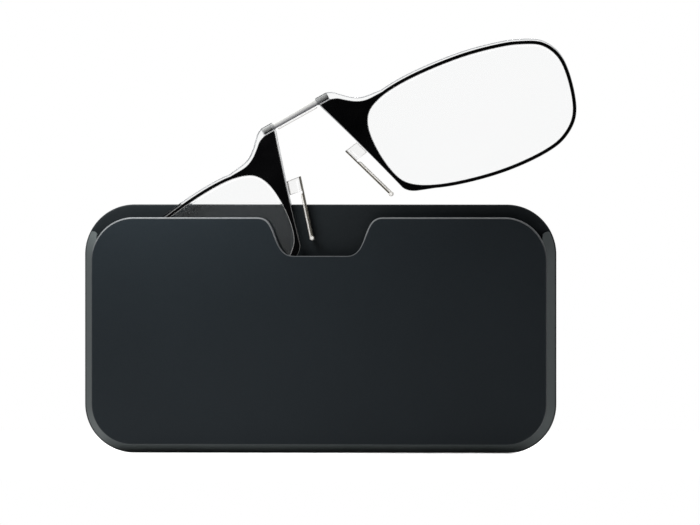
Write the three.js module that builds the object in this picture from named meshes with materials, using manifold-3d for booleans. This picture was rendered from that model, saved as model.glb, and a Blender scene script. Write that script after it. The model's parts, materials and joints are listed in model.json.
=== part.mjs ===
// Slim reading glasses without temples, half drawn out of a flat pocket case that sticks to a phone.
// Millimetres, +Z up. The case stands upright with its front towards -Y. The origin is the middle of
// the adhesive face on its back. Each half of the glasses is drawn in the plane of the lenses, x to
// the wearer's left and y up, from the middle of the bridge, and the left half mirrors the right one.
import * as THREE from "three";
import { mergeVertices } from "three/addons/utils/BufferGeometryUtils.js";
import Module from "manifold-3d";

const wasm = await Module();
wasm.setup();

const DEG = Math.PI / 180;
const CURVE_SEGMENTS = 12; // per curve or arc of an outline
const MERGE_DISTANCE = 1e-4;
const BOND_GAP = 0.02; // between faces that are glued or moulded together

// Case: a back plate, a U of sloped wall and a front plate, with an adhesive pad behind.
const CASE_WIDTH = 104.6;
const CASE_HEIGHT = 54.8;
const CASE_TOP_RADIUS = 11;
const CASE_BOTTOM_RADIUS = 10.8;
const ADHESIVE_THICKNESS = 0.4;
const ADHESIVE_MARGIN = 5;
const BACK_THICKNESS = 0.8;
const POCKET_DEPTH = 2.3;
const FRONT_THICKNESS = 0.8;
const SIDE_SLOPE = 1.8; // how far the wall leans in from the back plate to the front plate
const MOUTH_DROP = 2.85; // the front plate's top edge below the back plate's
const FRONT_TOP_RADIUS = 9.3;
const WALL_INSET = 0.25; // how far the back plate stands out past the wall's outer side
const WALL_FOOT = 2.8; // from the back plate's edge to the pocket
const WALL_END_DROP = 7.15; // where the round ends of the wall begin, below the back plate's top
const WALL_END_RADIUS = 1.2;
const WALL_END_INSET = 0.15; // how far each round end reaches into the pocket
const EDGE_CHAMFER = 0.2;

// Thumb notch in the front plate's top edge, with an S-curve on each side of a flat floor.
const NOTCH_X = 0.3;
const NOTCH_TOP_HALF = 13.8;
const NOTCH_FLOOR_HALF = 5.9;
const NOTCH_DEPTH = 8.5;
const NOTCH_TOP_HANDLE = 4.75;
const NOTCH_FLOOR_HANDLE = 4.95;

// Glasses: where the middle of the bridge stands over the case, and how far they lean out of it.
const BRIDGE_X = -5.26;
const BRIDGE_Z = 47.2;
const LEAN = 29 * DEG;

// Lens plate and rim, in layers from front to back.
const PLATE_THICKNESS = 2;
const RIM_THICKNESS = 0.6;
const RIM_WIDTH = 0.8;
const LENS_SAG = 0.35; // how far the lens stands forward in its middle
const LENS_RISE = 0.03; // how far the lens's edge stands forward of the plate
const DOME_SCALES = [1, 0.86, 0.7, 0.52, 0.34, 0.16]; // the size of each loop on the lens's front
const LENS_STEP = 0.35; // flat land between the rim and the curved lens
const BROW_LIFT = 0.5; // how far the clear plate rises above the rim
const OPENING = [
  [12.2, -17.1], [12.8, -10.3], [14.6, -7.4], [18.1, -5.9], [24.7, -5.4], [37.6, -6.7],
  [46.6, -8.9], [51.0, -10.6], [55.2, -13.3], [57.0, -17.7], [55.4, -26.3], [53.1, -30.4],
  [49.2, -32.8], [44.6, -33.5], [33.9, -32.6], [21.2, -29.1], [15.6, -26.1], [13.5, -23.6],
];
const OPENING_SEGMENTS = 76;

// Nose-side panel of each half: its edge towards the nose, its lower tip and its brow edge.
const PANEL_END = 19; // the panel runs this far under the rim
const BLACK_NOSE = [[5.75, -0.72], [9.65, -13], [13, -25.6]];
const BLACK_TIP = [[13.7, -27.1], [15.9, -27.9], [PANEL_END, -28.6]];
const BLACK_BROW = [
  [8.4, -0.72], [9.85, -1.3], [11.3, -2.5], [13.05, -3.8], [15.1, -4.65], [PANEL_END, -5.05],
];
const CLEAR_NOSE = [[5.6, -1], [9.55, -13], [12.9, -25.5]];
const CLEAR_TIP = [[13.55, -27], [15.85, -27.75], [PANEL_END, -28.5]];
const CLEAR_BROW = [
  [8.4, 1], [9.6, 0.35], [10.65, -0.65], [12.25, -2.2], [14.35, -3.55], [PANEL_END, -4.4],
];

// Bridge: a springy metal strip whose ends are held in the clear plates.
const BRIDGE_HALF = 5.4; // from the middle of the strip to a socket's mouth, where it bends
const STRIP_HEIGHT = 1.36;
const STRIP_MIDDLE = 0.18; // its middle above the middle of the bridge
const STRIP_DEPTH = 0.9;
const STRIP_CHAMFER = 0.1;
const SOCKET_LENGTH = 2.9;
const SOCKET_TOP = 1.03;
const SOCKET_FLOOR = -0.68;
const SOCKET_GAP = 0.05;
const FERRULE_LENGTH = 2;
const WEB_TOP = -0.6;
const WEB_HEIGHT = 0.42;
const WEB_HALF = 4.95;
const WEB_DEPTH = 0.7;

// Nose pads: a metal blade on a clear clip, with a silicone layer and a bead on its end.
const PAD_X = 6.72; // where the blade leaves its clip and bends
const PAD_Y = -15.36;
const PAD_LEAN = 17.1 * DEG;
const BLADE_THICKNESS = 0.3;
const BLADE_DEPTH = 1.2;
const BLADE_LENGTH = 10.05;
const FOOT_LENGTH = 3.15;
const CLIP_REACH = 3.06;
const CLIP_SKEW = 0.42; // how much lower the clip sits on the rim than on the blade
const CLIP_DEPTH = 1.4;
const CLIP_SLOT_X = 0.9;
const CLIP_SLOT_HALF = 0.17;
const CLIP_SLOT_TOP = 2.2;
const SILICONE_THICKNESS = 0.45;
const SILICONE_DEPTH = 1.6;
const SILICONE_START = 0.5; // below the blade's bend
const SILICONE_TAPER = 0.7;
const BEAD_RADIUS = 0.5;

// Depths on the y axis, from the adhesive face forwards.
const BACK_Y = -ADHESIVE_THICKNESS - BOND_GAP;
const WALL_Y = BACK_Y - BACK_THICKNESS - BOND_GAP;
const FRONT_Y = WALL_Y - POCKET_DEPTH - BOND_GAP;
const GLASSES_Y = (WALL_Y + BOND_GAP + FRONT_Y) / 2;

const FINISH = {
  case_plastic: { color: 0x24292c, roughness: 0.55, metalness: 0 },
  adhesive: { color: 0xd8d8d2, roughness: 0.8, metalness: 0 },
  rim_black: { color: 0x050505, roughness: 0.25, metalness: 0 },
  lens_clear: { color: 0xf4f8fa, roughness: 0.03, metalness: 0 },
  spring_metal: { color: 0xa9a8a6, roughness: 0.28, metalness: 1 },
  silicone: { color: 0xeeeeea, roughness: 0.35, metalness: 0 },
};

function named(name, geometry, finish) {
  const mesh = new THREE.Mesh(geometry, new THREE.MeshStandardMaterial(FINISH[finish]));
  mesh.name = name;
  return mesh;
}

// A flat shape seen from the front becomes a plate, from backY forwards to backY - depth.
function plate(shape, backY, depth, chamfer = 0) {
  const geometry = new THREE.ExtrudeGeometry(shape, {
    depth: depth - 2 * chamfer,
    bevelEnabled: chamfer > 0,
    bevelThickness: chamfer,
    bevelSize: chamfer,
    bevelOffset: -chamfer,
    bevelSegments: 1,
    curveSegments: CURVE_SEGMENTS,
  });
  return geometry.translate(0, 0, chamfer).rotateX(Math.PI / 2).translate(0, backY, 0);
}

function toSolid(geometry) {
  const open = geometry.index ? geometry.toNonIndexed() : geometry;
  const bare = new THREE.BufferGeometry().setAttribute("position", open.getAttribute("position"));
  const merged = mergeVertices(bare, MERGE_DISTANCE);
  return new wasm.Manifold(
    new wasm.Mesh({
      numProp: 3,
      vertProperties: merged.attributes.position.array,
      triVerts: new Uint32Array(merged.index.array),
    }),
  );
}

function toGeometry(solid) {
  const mesh = solid.getMesh();
  const geometry = new THREE.BufferGeometry();
  geometry.setAttribute("position", new THREE.Float32BufferAttribute(mesh.vertProperties, 3));
  geometry.setIndex(Array.from(mesh.triVerts));
  const flat = geometry.toNonIndexed();
  flat.computeVertexNormals();
  return flat;
}

function box(lowX, highX, lowY, highY, lowZ, highZ) {
  return new THREE.BoxGeometry(highX - lowX, highY - lowY, highZ - lowZ).translate(
    (lowX + highX) / 2,
    (lowY + highY) / 2,
    (lowZ + highZ) / 2,
  );
}

// Joins rings of equal point count, each a closed loop, into one closed solid with flat ends.
function loft(rings) {
  const count = rings[0].length;
  const points = rings.flat();
  const index = [];
  for (let r = 0; r + 1 < rings.length; r++) {
    for (let i = 0; i < count; i++) {
      const a = r * count + i;
      const b = r * count + ((i + 1) % count);
      index.push(a, b, a + count, b, b + count, a + count);
    }
  }
  const flatten = (ring) => ring.map((p) => new THREE.Vector2(p.x, p.z));
  for (const [a, b, c] of THREE.ShapeUtils.triangulateShape(flatten(rings[0]), [])) {
    index.push(a, c, b);
  }
  const last = (rings.length - 1) * count;
  for (const [a, b, c] of THREE.ShapeUtils.triangulateShape(flatten(rings.at(-1)), [])) {
    index.push(last + a, last + b, last + c);
  }
  const geometry = new THREE.BufferGeometry().setFromPoints(points);
  geometry.setIndex(index);
  return geometry;
}

// ---- Case ----

function roundedRectangle(halfWidth, low, high, lowRadius, highRadius) {
  const shape = new THREE.Shape();
  shape.moveTo(-halfWidth + lowRadius, low);
  shape.absarc(halfWidth - lowRadius, low + lowRadius, lowRadius, -Math.PI / 2, 0);
  shape.absarc(halfWidth - highRadius, high - highRadius, highRadius, 0, Math.PI / 2);
  shape.absarc(-halfWidth + highRadius, high - highRadius, highRadius, Math.PI / 2, Math.PI);
  shape.absarc(-halfWidth + lowRadius, low + lowRadius, lowRadius, Math.PI, 1.5 * Math.PI);
  shape.closePath();
  return shape;
}

const HALF_WIDTH = CASE_WIDTH / 2;
const HALF_HEIGHT = CASE_HEIGHT / 2;
const FRONT_HALF = HALF_WIDTH - SIDE_SLOPE;
const FRONT_LOW = -HALF_HEIGHT + SIDE_SLOPE;
const FRONT_HIGH = HALF_HEIGHT - MOUTH_DROP;

function backOutline() {
  return roundedRectangle(HALF_WIDTH, -HALF_HEIGHT, HALF_HEIGHT, CASE_BOTTOM_RADIUS, CASE_TOP_RADIUS);
}

function frontOutline() {
  const lowRadius = CASE_BOTTOM_RADIUS - SIDE_SLOPE;
  return roundedRectangle(FRONT_HALF, FRONT_LOW, FRONT_HIGH, lowRadius, FRONT_TOP_RADIUS);
}

function adhesivePad() {
  const half = HALF_WIDTH - ADHESIVE_MARGIN;
  const high = HALF_HEIGHT - ADHESIVE_MARGIN;
  const radius = CASE_BOTTOM_RADIUS - ADHESIVE_MARGIN;
  return plate(roundedRectangle(half, -high, high, radius, radius), 0, ADHESIVE_THICKNESS);
}

function backPlate() {
  return plate(backOutline(), BACK_Y, BACK_THICKNESS, EDGE_CHAMFER);
}

// The front plate's outline dips in one smooth S on each side of the thumb notch.
function frontPlate() {
  const top = FRONT_HIGH;
  const floor = FRONT_HIGH - NOTCH_DEPTH;
  const lowRadius = CASE_BOTTOM_RADIUS - SIDE_SLOPE;
  const shape = new THREE.Shape();
  shape.moveTo(-FRONT_HALF + lowRadius, FRONT_LOW);
  shape.absarc(FRONT_HALF - lowRadius, FRONT_LOW + lowRadius, lowRadius, -Math.PI / 2, 0);
  shape.absarc(FRONT_HALF - FRONT_TOP_RADIUS, top - FRONT_TOP_RADIUS, FRONT_TOP_RADIUS, 0, Math.PI / 2);
  shape.lineTo(NOTCH_X + NOTCH_TOP_HALF, top);
  shape.bezierCurveTo(
    NOTCH_X + NOTCH_TOP_HALF - NOTCH_TOP_HANDLE, top,
    NOTCH_X + NOTCH_FLOOR_HALF + NOTCH_FLOOR_HANDLE, floor,
    NOTCH_X + NOTCH_FLOOR_HALF, floor,
  );
  shape.lineTo(NOTCH_X - NOTCH_FLOOR_HALF, floor);
  shape.bezierCurveTo(
    NOTCH_X - NOTCH_FLOOR_HALF - NOTCH_FLOOR_HANDLE, floor,
    NOTCH_X - NOTCH_TOP_HALF + NOTCH_TOP_HANDLE, top,
    NOTCH_X - NOTCH_TOP_HALF, top,
  );
  shape.absarc(
    -FRONT_HALF + FRONT_TOP_RADIUS, top - FRONT_TOP_RADIUS, FRONT_TOP_RADIUS, Math.PI / 2, Math.PI,
  );
  shape.absarc(-FRONT_HALF + lowRadius, FRONT_LOW + lowRadius, lowRadius, Math.PI, 1.5 * Math.PI);
  return plate(shape, FRONT_Y, FRONT_THICKNESS, EDGE_CHAMFER);
}

// The outer side of the wall leans from just inside the back plate's outline to the front plate's.
function slopedBlock() {
  const half = HALF_WIDTH - WALL_INSET;
  const low = -HALF_HEIGHT + WALL_INSET;
  const lowRadius = CASE_BOTTOM_RADIUS - WALL_INSET;
  const foot = roundedRectangle(half, low, HALF_HEIGHT, lowRadius, CASE_TOP_RADIUS);
  const ring = (shape, y) => {
    const points = shape.getPoints(CURVE_SEGMENTS).slice(0, -1);
    return points.map((p) => new THREE.Vector3(p.x, y, p.y));
  };
  return loft([ring(foot, WALL_Y), ring(frontOutline(), WALL_Y - POCKET_DEPTH)]);
}

function pocketShape() {
  const half = HALF_WIDTH - WALL_FOOT;
  const radius = CASE_BOTTOM_RADIUS - WALL_FOOT;
  return roundedRectangle(half, -HALF_HEIGHT + WALL_FOOT, CASE_HEIGHT, radius, radius);
}

// Everything below the round upper ends of the wall.
function wallReach() {
  const z = HALF_HEIGHT - WALL_END_DROP;
  const endX = HALF_WIDTH - WALL_FOOT + WALL_END_RADIUS - WALL_END_INSET;
  const shape = new THREE.Shape();
  shape.moveTo(-CASE_WIDTH, -CASE_HEIGHT);
  shape.lineTo(CASE_WIDTH, -CASE_HEIGHT);
  shape.lineTo(CASE_WIDTH, z);
  shape.absarc(endX, z, WALL_END_RADIUS, 0, Math.PI);
  shape.absarc(-endX, z, WALL_END_RADIUS, 0, Math.PI);
  shape.lineTo(-CASE_WIDTH, z);
  return shape;
}

function pocketWall() {
  const deep = 3 * POCKET_DEPTH;
  const start = WALL_Y + POCKET_DEPTH;
  const wall = toSolid(slopedBlock())
    .subtract(toSolid(plate(pocketShape(), start, deep)))
    .intersect(toSolid(plate(wallReach(), start, deep)));
  return toGeometry(wall);
}

// ---- Glasses, in the plane of the lenses ----

function openingLoop() {
  const points = OPENING.map(([x, y]) => new THREE.Vector3(x, y, 0));
  const curve = new THREE.CatmullRomCurve3(points, true);
  return curve.getSpacedPoints(OPENING_SEGMENTS).slice(0, -1).map((p) => new THREE.Vector2(p.x, p.y));
}

// Moves a closed loop outwards by a distance, or inwards if it is negative. The loop runs clockwise.
function offsetLoop(loop, distance) {
  return loop.map((p, i) => {
    const next = loop[(i + 1) % loop.length];
    const last = loop[(i + loop.length - 1) % loop.length];
    const along = next.clone().sub(last).normalize();
    return new THREE.Vector2(p.x - along.y * distance, p.y + along.x * distance);
  });
}

// The panel between the lens opening and the nose: over the brow, then down to the tip and back up.
function panel(nose, tip, brow) {
  const [corner, bend, end] = nose;
  const [turn, foot, under] = tip;
  const shape = new THREE.Shape();
  shape.moveTo(...corner);
  shape.lineTo(...brow[0]);
  shape.splineThru(brow.slice(1).map((p) => new THREE.Vector2(...p)));
  shape.lineTo(...under);
  shape.lineTo(...foot);
  shape.quadraticCurveTo(...turn, ...end);
  shape.quadraticCurveTo(...bend, ...corner);
  return shape;
}

const FRONT_FACE = -PLATE_THICKNESS / 2;
const BACK_FACE = PLATE_THICKNESS / 2;
const RIM_BACK = FRONT_FACE + RIM_THICKNESS;
const CLEAR_FRONT = RIM_BACK + BOND_GAP;

function rim() {
  const opening = openingLoop();
  const deep = 3 * RIM_THICKNESS;
  const ring = new THREE.Shape(offsetLoop(opening, RIM_WIDTH));
  const solid = toSolid(plate(ring, RIM_BACK, RIM_THICKNESS))
    .add(toSolid(plate(panel(BLACK_NOSE, BLACK_TIP, BLACK_BROW), RIM_BACK, RIM_THICKNESS)))
    .subtract(toSolid(plate(new THREE.Shape(opening), RIM_BACK + RIM_THICKNESS, deep)));
  return toGeometry(solid);
}

// The curved front of the lens: loops that shrink towards the middle and stand further forward.
function lensDome() {
  const base = offsetLoop(openingLoop(), -LENS_STEP).reverse();
  const middle = base.reduce((sum, p) => sum.add(p), new THREE.Vector2()).divideScalar(base.length);
  const ring = (scale, y) =>
    base.map((p) => {
      const q = p.clone().sub(middle).multiplyScalar(scale).add(middle);
      return new THREE.Vector3(q.x, y, q.y);
    });
  const rings = [ring(1, 0)];
  for (const scale of DOME_SCALES) {
    rings.push(ring(scale, CLEAR_FRONT - LENS_RISE - LENS_SAG * (1 - scale * scale)));
  }
  return loft(rings);
}

function lensPlate() {
  const thickness = BACK_FACE - CLEAR_FRONT;
  const outline = offsetLoop(openingLoop(), RIM_WIDTH);
  const lifted = new THREE.Shape(outline.map((p) => new THREE.Vector2(p.x, p.y + BROW_LIFT)));
  const socketEnd = BRIDGE_HALF + SOCKET_LENGTH;
  const tunnelFloor = STRIP_MIDDLE - STRIP_HEIGHT / 2 - SOCKET_GAP;
  const tunnelTop = STRIP_MIDDLE + STRIP_HEIGHT / 2 + SOCKET_GAP;
  const tunnelDepth = STRIP_DEPTH / 2 + SOCKET_GAP;
  const tunnelEnd = BRIDGE_HALF + STRIP_HEIGHT / 2 + 2 * SOCKET_GAP + FERRULE_LENGTH;
  const solid = toSolid(plate(lifted, BACK_FACE, thickness))
    .add(toSolid(plate(panel(CLEAR_NOSE, CLEAR_TIP, CLEAR_BROW), BACK_FACE, thickness)))
    .add(toSolid(box(BRIDGE_HALF, socketEnd, FRONT_FACE, 0, SOCKET_FLOOR, SOCKET_TOP)))
    .add(toSolid(lensDome()))
    .subtract(toSolid(box(0, tunnelEnd, -tunnelDepth, tunnelDepth, tunnelFloor, tunnelTop)));
  return toGeometry(solid);
}

// The strip's end inside the clear plate.
function ferrule() {
  const start = BRIDGE_HALF + STRIP_HEIGHT / 2 + SOCKET_GAP;
  const depth = STRIP_DEPTH / 2;
  const low = STRIP_MIDDLE - STRIP_HEIGHT / 2;
  return box(start, start + FERRULE_LENGTH, -depth, depth, low, low + STRIP_HEIGHT);
}

function stadium(halfLength, radius) {
  const shape = new THREE.Shape();
  shape.absarc(halfLength, 0, radius, -Math.PI / 2, Math.PI / 2);
  shape.absarc(-halfLength, 0, radius, Math.PI / 2, 1.5 * Math.PI);
  return shape;
}

// The free part of the strip, with round ends that turn in the sockets' mouths.
function bridgeStrip() {
  const outline = stadium(BRIDGE_HALF, STRIP_HEIGHT / 2);
  return plate(outline, STRIP_DEPTH / 2, STRIP_DEPTH, STRIP_CHAMFER).translate(0, 0, STRIP_MIDDLE);
}

// A clear web under the strip.
function bridgeWeb() {
  return box(-WEB_HALF, WEB_HALF, -WEB_DEPTH / 2, WEB_DEPTH / 2, WEB_TOP - WEB_HEIGHT, WEB_TOP);
}

// ---- Nose pads, each in a frame that lies along its blade, z up ----

function clip() {
  const near = BLADE_THICKNESS / 2 + BOND_GAP;
  const outline = new THREE.Shape();
  outline.moveTo(near, 0);
  outline.lineTo(CLIP_REACH, -CLIP_SKEW);
  outline.lineTo(CLIP_REACH, FOOT_LENGTH - CLIP_SKEW);
  outline.lineTo(near, FOOT_LENGTH);
  const slot = new THREE.Shape();
  slot.moveTo(CLIP_SLOT_X - CLIP_SLOT_HALF, -1);
  slot.lineTo(CLIP_SLOT_X + CLIP_SLOT_HALF, -1);
  slot.absarc(CLIP_SLOT_X, CLIP_SLOT_TOP, CLIP_SLOT_HALF, 0, Math.PI);
  const solid = toSolid(plate(outline, CLIP_DEPTH / 2, CLIP_DEPTH)).subtract(
    toSolid(plate(slot, CLIP_DEPTH, 2 * CLIP_DEPTH)),
  );
  return toGeometry(solid);
}

function bladeFoot() {
  const half = BLADE_THICKNESS / 2;
  return box(-half, half, -BLADE_DEPTH / 2, BLADE_DEPTH / 2, half + SOCKET_GAP, FOOT_LENGTH);
}

function blade() {
  const half = BLADE_THICKNESS / 2;
  const shape = new THREE.Shape();
  shape.absarc(0, 0, half, 0, Math.PI);
  shape.absarc(0, -BLADE_LENGTH, half, Math.PI, 2 * Math.PI);
  return plate(shape, BLADE_DEPTH / 2, BLADE_DEPTH);
}

// A silicone layer along the blade, which ends in a round bead below the blade's tip.
function siliconePad() {
  const near = BLADE_THICKNESS / 2 + BOND_GAP;
  const far = near + SILICONE_THICKNESS;
  const beadZ = -BLADE_LENGTH - BLADE_THICKNESS / 2 - BOND_GAP - BEAD_RADIUS;
  const layer = new THREE.Shape();
  layer.moveTo(near, beadZ);
  layer.lineTo(far, beadZ);
  layer.lineTo(far, -SILICONE_START - SILICONE_TAPER);
  layer.quadraticCurveTo(far, -SILICONE_START, near, -SILICONE_START);
  const bead = new THREE.Shape();
  bead.absarc(near, beadZ, BEAD_RADIUS, 0, 2 * Math.PI);
  const solid = toSolid(plate(layer, SILICONE_DEPTH / 2, SILICONE_DEPTH)).add(
    toSolid(plate(bead, SILICONE_DEPTH / 2, SILICONE_DEPTH)),
  );
  return toGeometry(solid);
}

// ---- Assembly ----

function caseGroup() {
  const group = new THREE.Group();
  group.add(
    named("adhesive_pad", adhesivePad(), "adhesive"),
    named("back_plate", backPlate(), "case_plastic"),
    named("pocket_wall", pocketWall(), "case_plastic"),
    named("front_plate", frontPlate(), "case_plastic"),
  );
  return group;
}

function noseGroup(side) {
  const group = new THREE.Group();
  group.position.set(PAD_X, 0, PAD_Y);
  group.rotation.y = -PAD_LEAN;
  group.add(
    named(side + "_pad_clip", clip(), "lens_clear"),
    named(side + "_blade_foot", bladeFoot(), "spring_metal"),
    named(side + "_pad_blade", blade(), "spring_metal"),
    named(side + "_nose_pad", siliconePad(), "silicone"),
  );
  return group;
}

function halfGroup(side, mirror) {
  const group = new THREE.Group();
  group.scale.x = mirror;
  group.add(
    named(side + "_lens", lensPlate(), "lens_clear"),
    named(side + "_rim", rim(), "rim_black"),
    named(side + "_ferrule", ferrule(), "spring_metal"),
    noseGroup(side),
  );
  return group;
}

function glassesGroup() {
  const group = new THREE.Group();
  group.position.set(BRIDGE_X, GLASSES_Y, BRIDGE_Z);
  group.rotation.y = -LEAN;
  group.add(
    halfGroup("left", -1),
    halfGroup("right", 1),
    named("bridge_strip", bridgeStrip(), "spring_metal"),
    named("bridge_web", bridgeWeb(), "silicone"),
  );
  return group;
}

const model = new THREE.Group();
model.add(caseGroup(), glassesGroup());

export default model;
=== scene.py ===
"""Slim reading glasses without temples, half drawn out of a flat dark pocket case.

The case stands upright with its front towards -Y. Each half of the glasses is drawn in its own
plane: x from the middle of the bridge towards that lens, y in depth and z up, in millimetres.
"""
import json
import math

import bmesh
import bpy
from mathutils import Matrix, Vector

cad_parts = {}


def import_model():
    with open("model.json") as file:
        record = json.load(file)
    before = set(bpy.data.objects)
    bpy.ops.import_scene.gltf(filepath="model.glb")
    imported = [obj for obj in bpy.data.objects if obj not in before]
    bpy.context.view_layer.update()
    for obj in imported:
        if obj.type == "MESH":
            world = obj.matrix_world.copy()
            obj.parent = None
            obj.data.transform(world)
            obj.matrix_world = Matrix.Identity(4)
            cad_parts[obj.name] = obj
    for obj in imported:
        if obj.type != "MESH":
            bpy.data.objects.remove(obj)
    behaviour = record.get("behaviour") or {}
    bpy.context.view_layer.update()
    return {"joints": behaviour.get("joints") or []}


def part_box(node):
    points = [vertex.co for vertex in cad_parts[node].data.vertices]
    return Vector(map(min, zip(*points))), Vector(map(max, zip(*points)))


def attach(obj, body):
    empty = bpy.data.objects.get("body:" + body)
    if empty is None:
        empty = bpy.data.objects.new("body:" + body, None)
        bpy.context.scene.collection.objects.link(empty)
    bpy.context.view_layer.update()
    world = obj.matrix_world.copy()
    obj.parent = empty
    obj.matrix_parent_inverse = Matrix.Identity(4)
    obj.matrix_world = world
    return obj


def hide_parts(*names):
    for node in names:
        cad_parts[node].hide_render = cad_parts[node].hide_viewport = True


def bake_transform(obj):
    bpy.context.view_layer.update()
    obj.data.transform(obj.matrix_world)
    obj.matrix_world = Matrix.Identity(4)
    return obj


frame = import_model()

MM = 0.001
TO_METRES = Matrix.Scale(MM, 4)
ARC_STEPS = 28
CURVE_STEPS = 40  # on the long curves beside the nose
TIP_STEPS = 10
CORNER_STEPS = 6
SPLINE_STEPS = 9  # between two of its points
FILLET_STEPS = 5
FILLET_TURNS = [math.pi / 2 * i / FILLET_STEPS for i in range(FILLET_STEPS + 1)]
SUPPORT = 0.04  # a narrow flat ring inside each fillet keeps the flat faces shaded flat
CREASE = math.radians(38)  # edges sharper than this are shaded sharp
BOND_GAP = 0.02  # between two pieces that lie against each other

# Case, beyond what its CAD boxes give.
CASE_TOP_RADIUS = 11
CASE_BOTTOM_RADIUS = 10.8
SIDE_SLOPE = 1.8  # how far the front plate's edge lies inside the back plate's
WALL_INSET = 0.25  # the back plate stands out past the wall
FRONT_TOP_RADIUS = 9.3
FRONT_BOTTOM_RADIUS = CASE_BOTTOM_RADIUS - SIDE_SLOPE
WALL_FOOT = 2.8  # from the back plate's edge to the pocket
WALL_END_DROP = 7.15  # where the wall's round ends begin, below the back plate's top
WALL_END_RADIUS = 1.2
WALL_END_INSET = 0.15  # how far each round end reaches into the pocket
NOTCH_X = 0.3
NOTCH_TOP_HALF = 13.8
NOTCH_FLOOR_HALF = 5.9
NOTCH_DEPTH = 8.5
NOTCH_TOP_HANDLE = 4.75
NOTCH_FLOOR_HANDLE = 4.95
BACK_FILLET = 0.24
LIP_FILLET = 0.3  # the rounded lip along the mouth and the notch, which takes the strongest painted highlight
LIP_BLEND = 6  # the lip's rounding fades into the sides over this height
SIDE_FILLET = 0.14
# the painted highlight on the back plate's rounded edges
BACK_HIGHLIGHT = 0.08
SIDE_HIGHLIGHT = 0.3  # how strong the painted highlight on the other edges is, next to the lip
PAD_RADIUS = 5.8
PAD_FILLET = 0.06
WALL_EDGE = 0.12

# Glasses, in layers from front to back.
FRONT_FACE = -1.0
RIM_BACK = -0.4
CLEAR_FRONT = -0.38
BACK_FACE = 1.0
RIM_WIDTH = 0.8
RIM_FILLET = 0.07
RIM_BACK_FILLET = 0.05
RIM_OUTER_SHINE = 0.5  # how strong the painted highlight on the outer edge is, next to the inner one
CLEAR_FILLET = 0.2
CLEAR_FRONT_FILLET = 0.1
LENS_SAG = 0.3
LENS_STEP = 0.35
STEP_RISE = 0.07
STEP_TOE = 0.06  # the step around the lens starts this far outside it
STEP_SHARE = 0.3  # the share of its rise that lies in the outer half of that
BROW_LIFT = 0.5
DOME_RINGS = 16
RING_STARTS = 19  # where the rim leaves the nose-side panel
OPENING = [
    (12.2, -17.1), (12.8, -10.3), (14.6, -7.4), (18.1, -5.9), (24.7, -5.4), (37.6, -6.7),
    (46.6, -8.9), (51.0, -10.6), (55.2, -13.3), (57.0, -17.7), (55.4, -26.3), (53.1, -30.4),
    (49.2, -32.8), (44.6, -33.5), (33.9, -32.6), (21.2, -29.1), (15.6, -26.1), (13.5, -23.6),
]

# Nose-side panel of each half: its edge towards the nose, its lower tip and its brow edge.
BLACK_NOSE = ((5.75, -0.72), (9.65, -13), (13, -25.6))
BLACK_TIP = ((13, -25.6), (13.7, -27.1), (15.9, -27.9))
BLACK_BROW = ((15.1, -4.65), (13.05, -3.8), (11.3, -2.5), (9.85, -1.3), (8.4, -0.72))
CLEAR_NOSE = ((5.6, -1), (9.55, -13), (12.9, -25.5))
CLEAR_TIP = ((12.9, -25.5), (13.55, -27), (15.85, -27.75))
CLEAR_BROW = ((14.35, -3.55), (12.25, -2.2), (10.65, -0.65), (9.6, 0.35), (8.4, 0.98), (7.6, 1.03))

# Bridge.
STRIP_HEIGHT = 1.36
STRIP_MIDDLE = 0.18  # its middle above the middle of the bridge
STRIP_DEPTH = 0.9
STRIP_CORNER = 0.2
STRIP_SECTION_SKIP = 4  # its small section takes one point in this many
STRIP_SHADE = 0.42  # the lower share of the strip's height, which takes the painted shade
STRIP_STEPS = 24
STRIP_SLIM = (0.98, 0.9)  # the height and depth of its free part, next to its fixed ends
BEND_START = 0.1  # the strip bends between these distances from a socket's mouth
BEND_END = 3.2
SOCKET = ((5.4, 8.3), (FRONT_FACE, 0), (-0.68, 1.03))  # where it lies in x, y and z
SOCKET_CORNERS = (0.1, 0.2)
SOCKET_FILLET = 0.06
FERRULE = (6.13, 8.13)  # where it lies in x, inside the socket
FERRULE_TIP = ((0, 0.86), (0.06, 0.96), (0.14, 1))  # distances from its end, and scales there
WEB_TOP = -0.6
WEB_HEIGHT = 0.42
WEB_HALF = 4.95
WEB_DEPTH = 0.7
WEB_TOP_SHADE = 0.15  # the painted shade on its upper edge, next to the lower one
WEB_CORNER = 0.25
SMALL_FILLET = 0.12

# Nose pads, in a frame whose z lies along the blade, with the blade's pivot at the origin.
PAD_LEAN = math.radians(17.1)
BLADE_THICKNESS = 0.3
BLADE_DEPTH = 1.2
BLADE_LENGTH = 10.05
BLADE_CORNER = 0.09
BLADE_SECTION_SKIP = 7
BLADE_STEPS = 46
BLADE_BEND = 0.5  # on each side of its pivot
FOOT_LENGTH = 3.15
CLIP_REACH = 3.06
CLIP_SKEW = 0.42
CLIP_DEPTH = 1.4
CLIP_SLOT_X = 0.9
CLIP_SLOT_HALF = 0.17
CLIP_SLOT_TOP = 2.2
CLIP_CORNER = 0.2
SILICONE_THICKNESS = 0.45
SILICONE_DEPTH = 1.6
SILICONE_START = 0.55
SILICONE_TAPER = 0.7
SILICONE_SIDE = (-8, -6, -4, -2)  # points along its straight side
TAPER_STEPS = 8
SILICONE_FILLET = 0.14
BEAD_RADIUS = 0.5
BEAD_STEPS = 30


# ---- Outlines: closed loops run anticlockwise, as seen from the front ----

def arc(x, z, radius, start, end, steps=ARC_STEPS):
    """Points on an arc, with its angles in degrees and both ends included."""
    turns = [math.radians(start + (end - start) * i / steps) for i in range(steps + 1)]
    return [Vector((x + radius * math.cos(a), z + radius * math.sin(a))) for a in turns]


def bezier(*handles, steps=ARC_STEPS):
    """Points on a Bezier curve through any number of handles, both ends included."""
    points = []
    for i in range(steps + 1):
        level = [Vector(h) for h in handles]
        while len(level) > 1:
            level = [a.lerp(b, i / steps) for a, b in zip(level, level[1:])]
        points.append(level[0])
    return points


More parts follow.
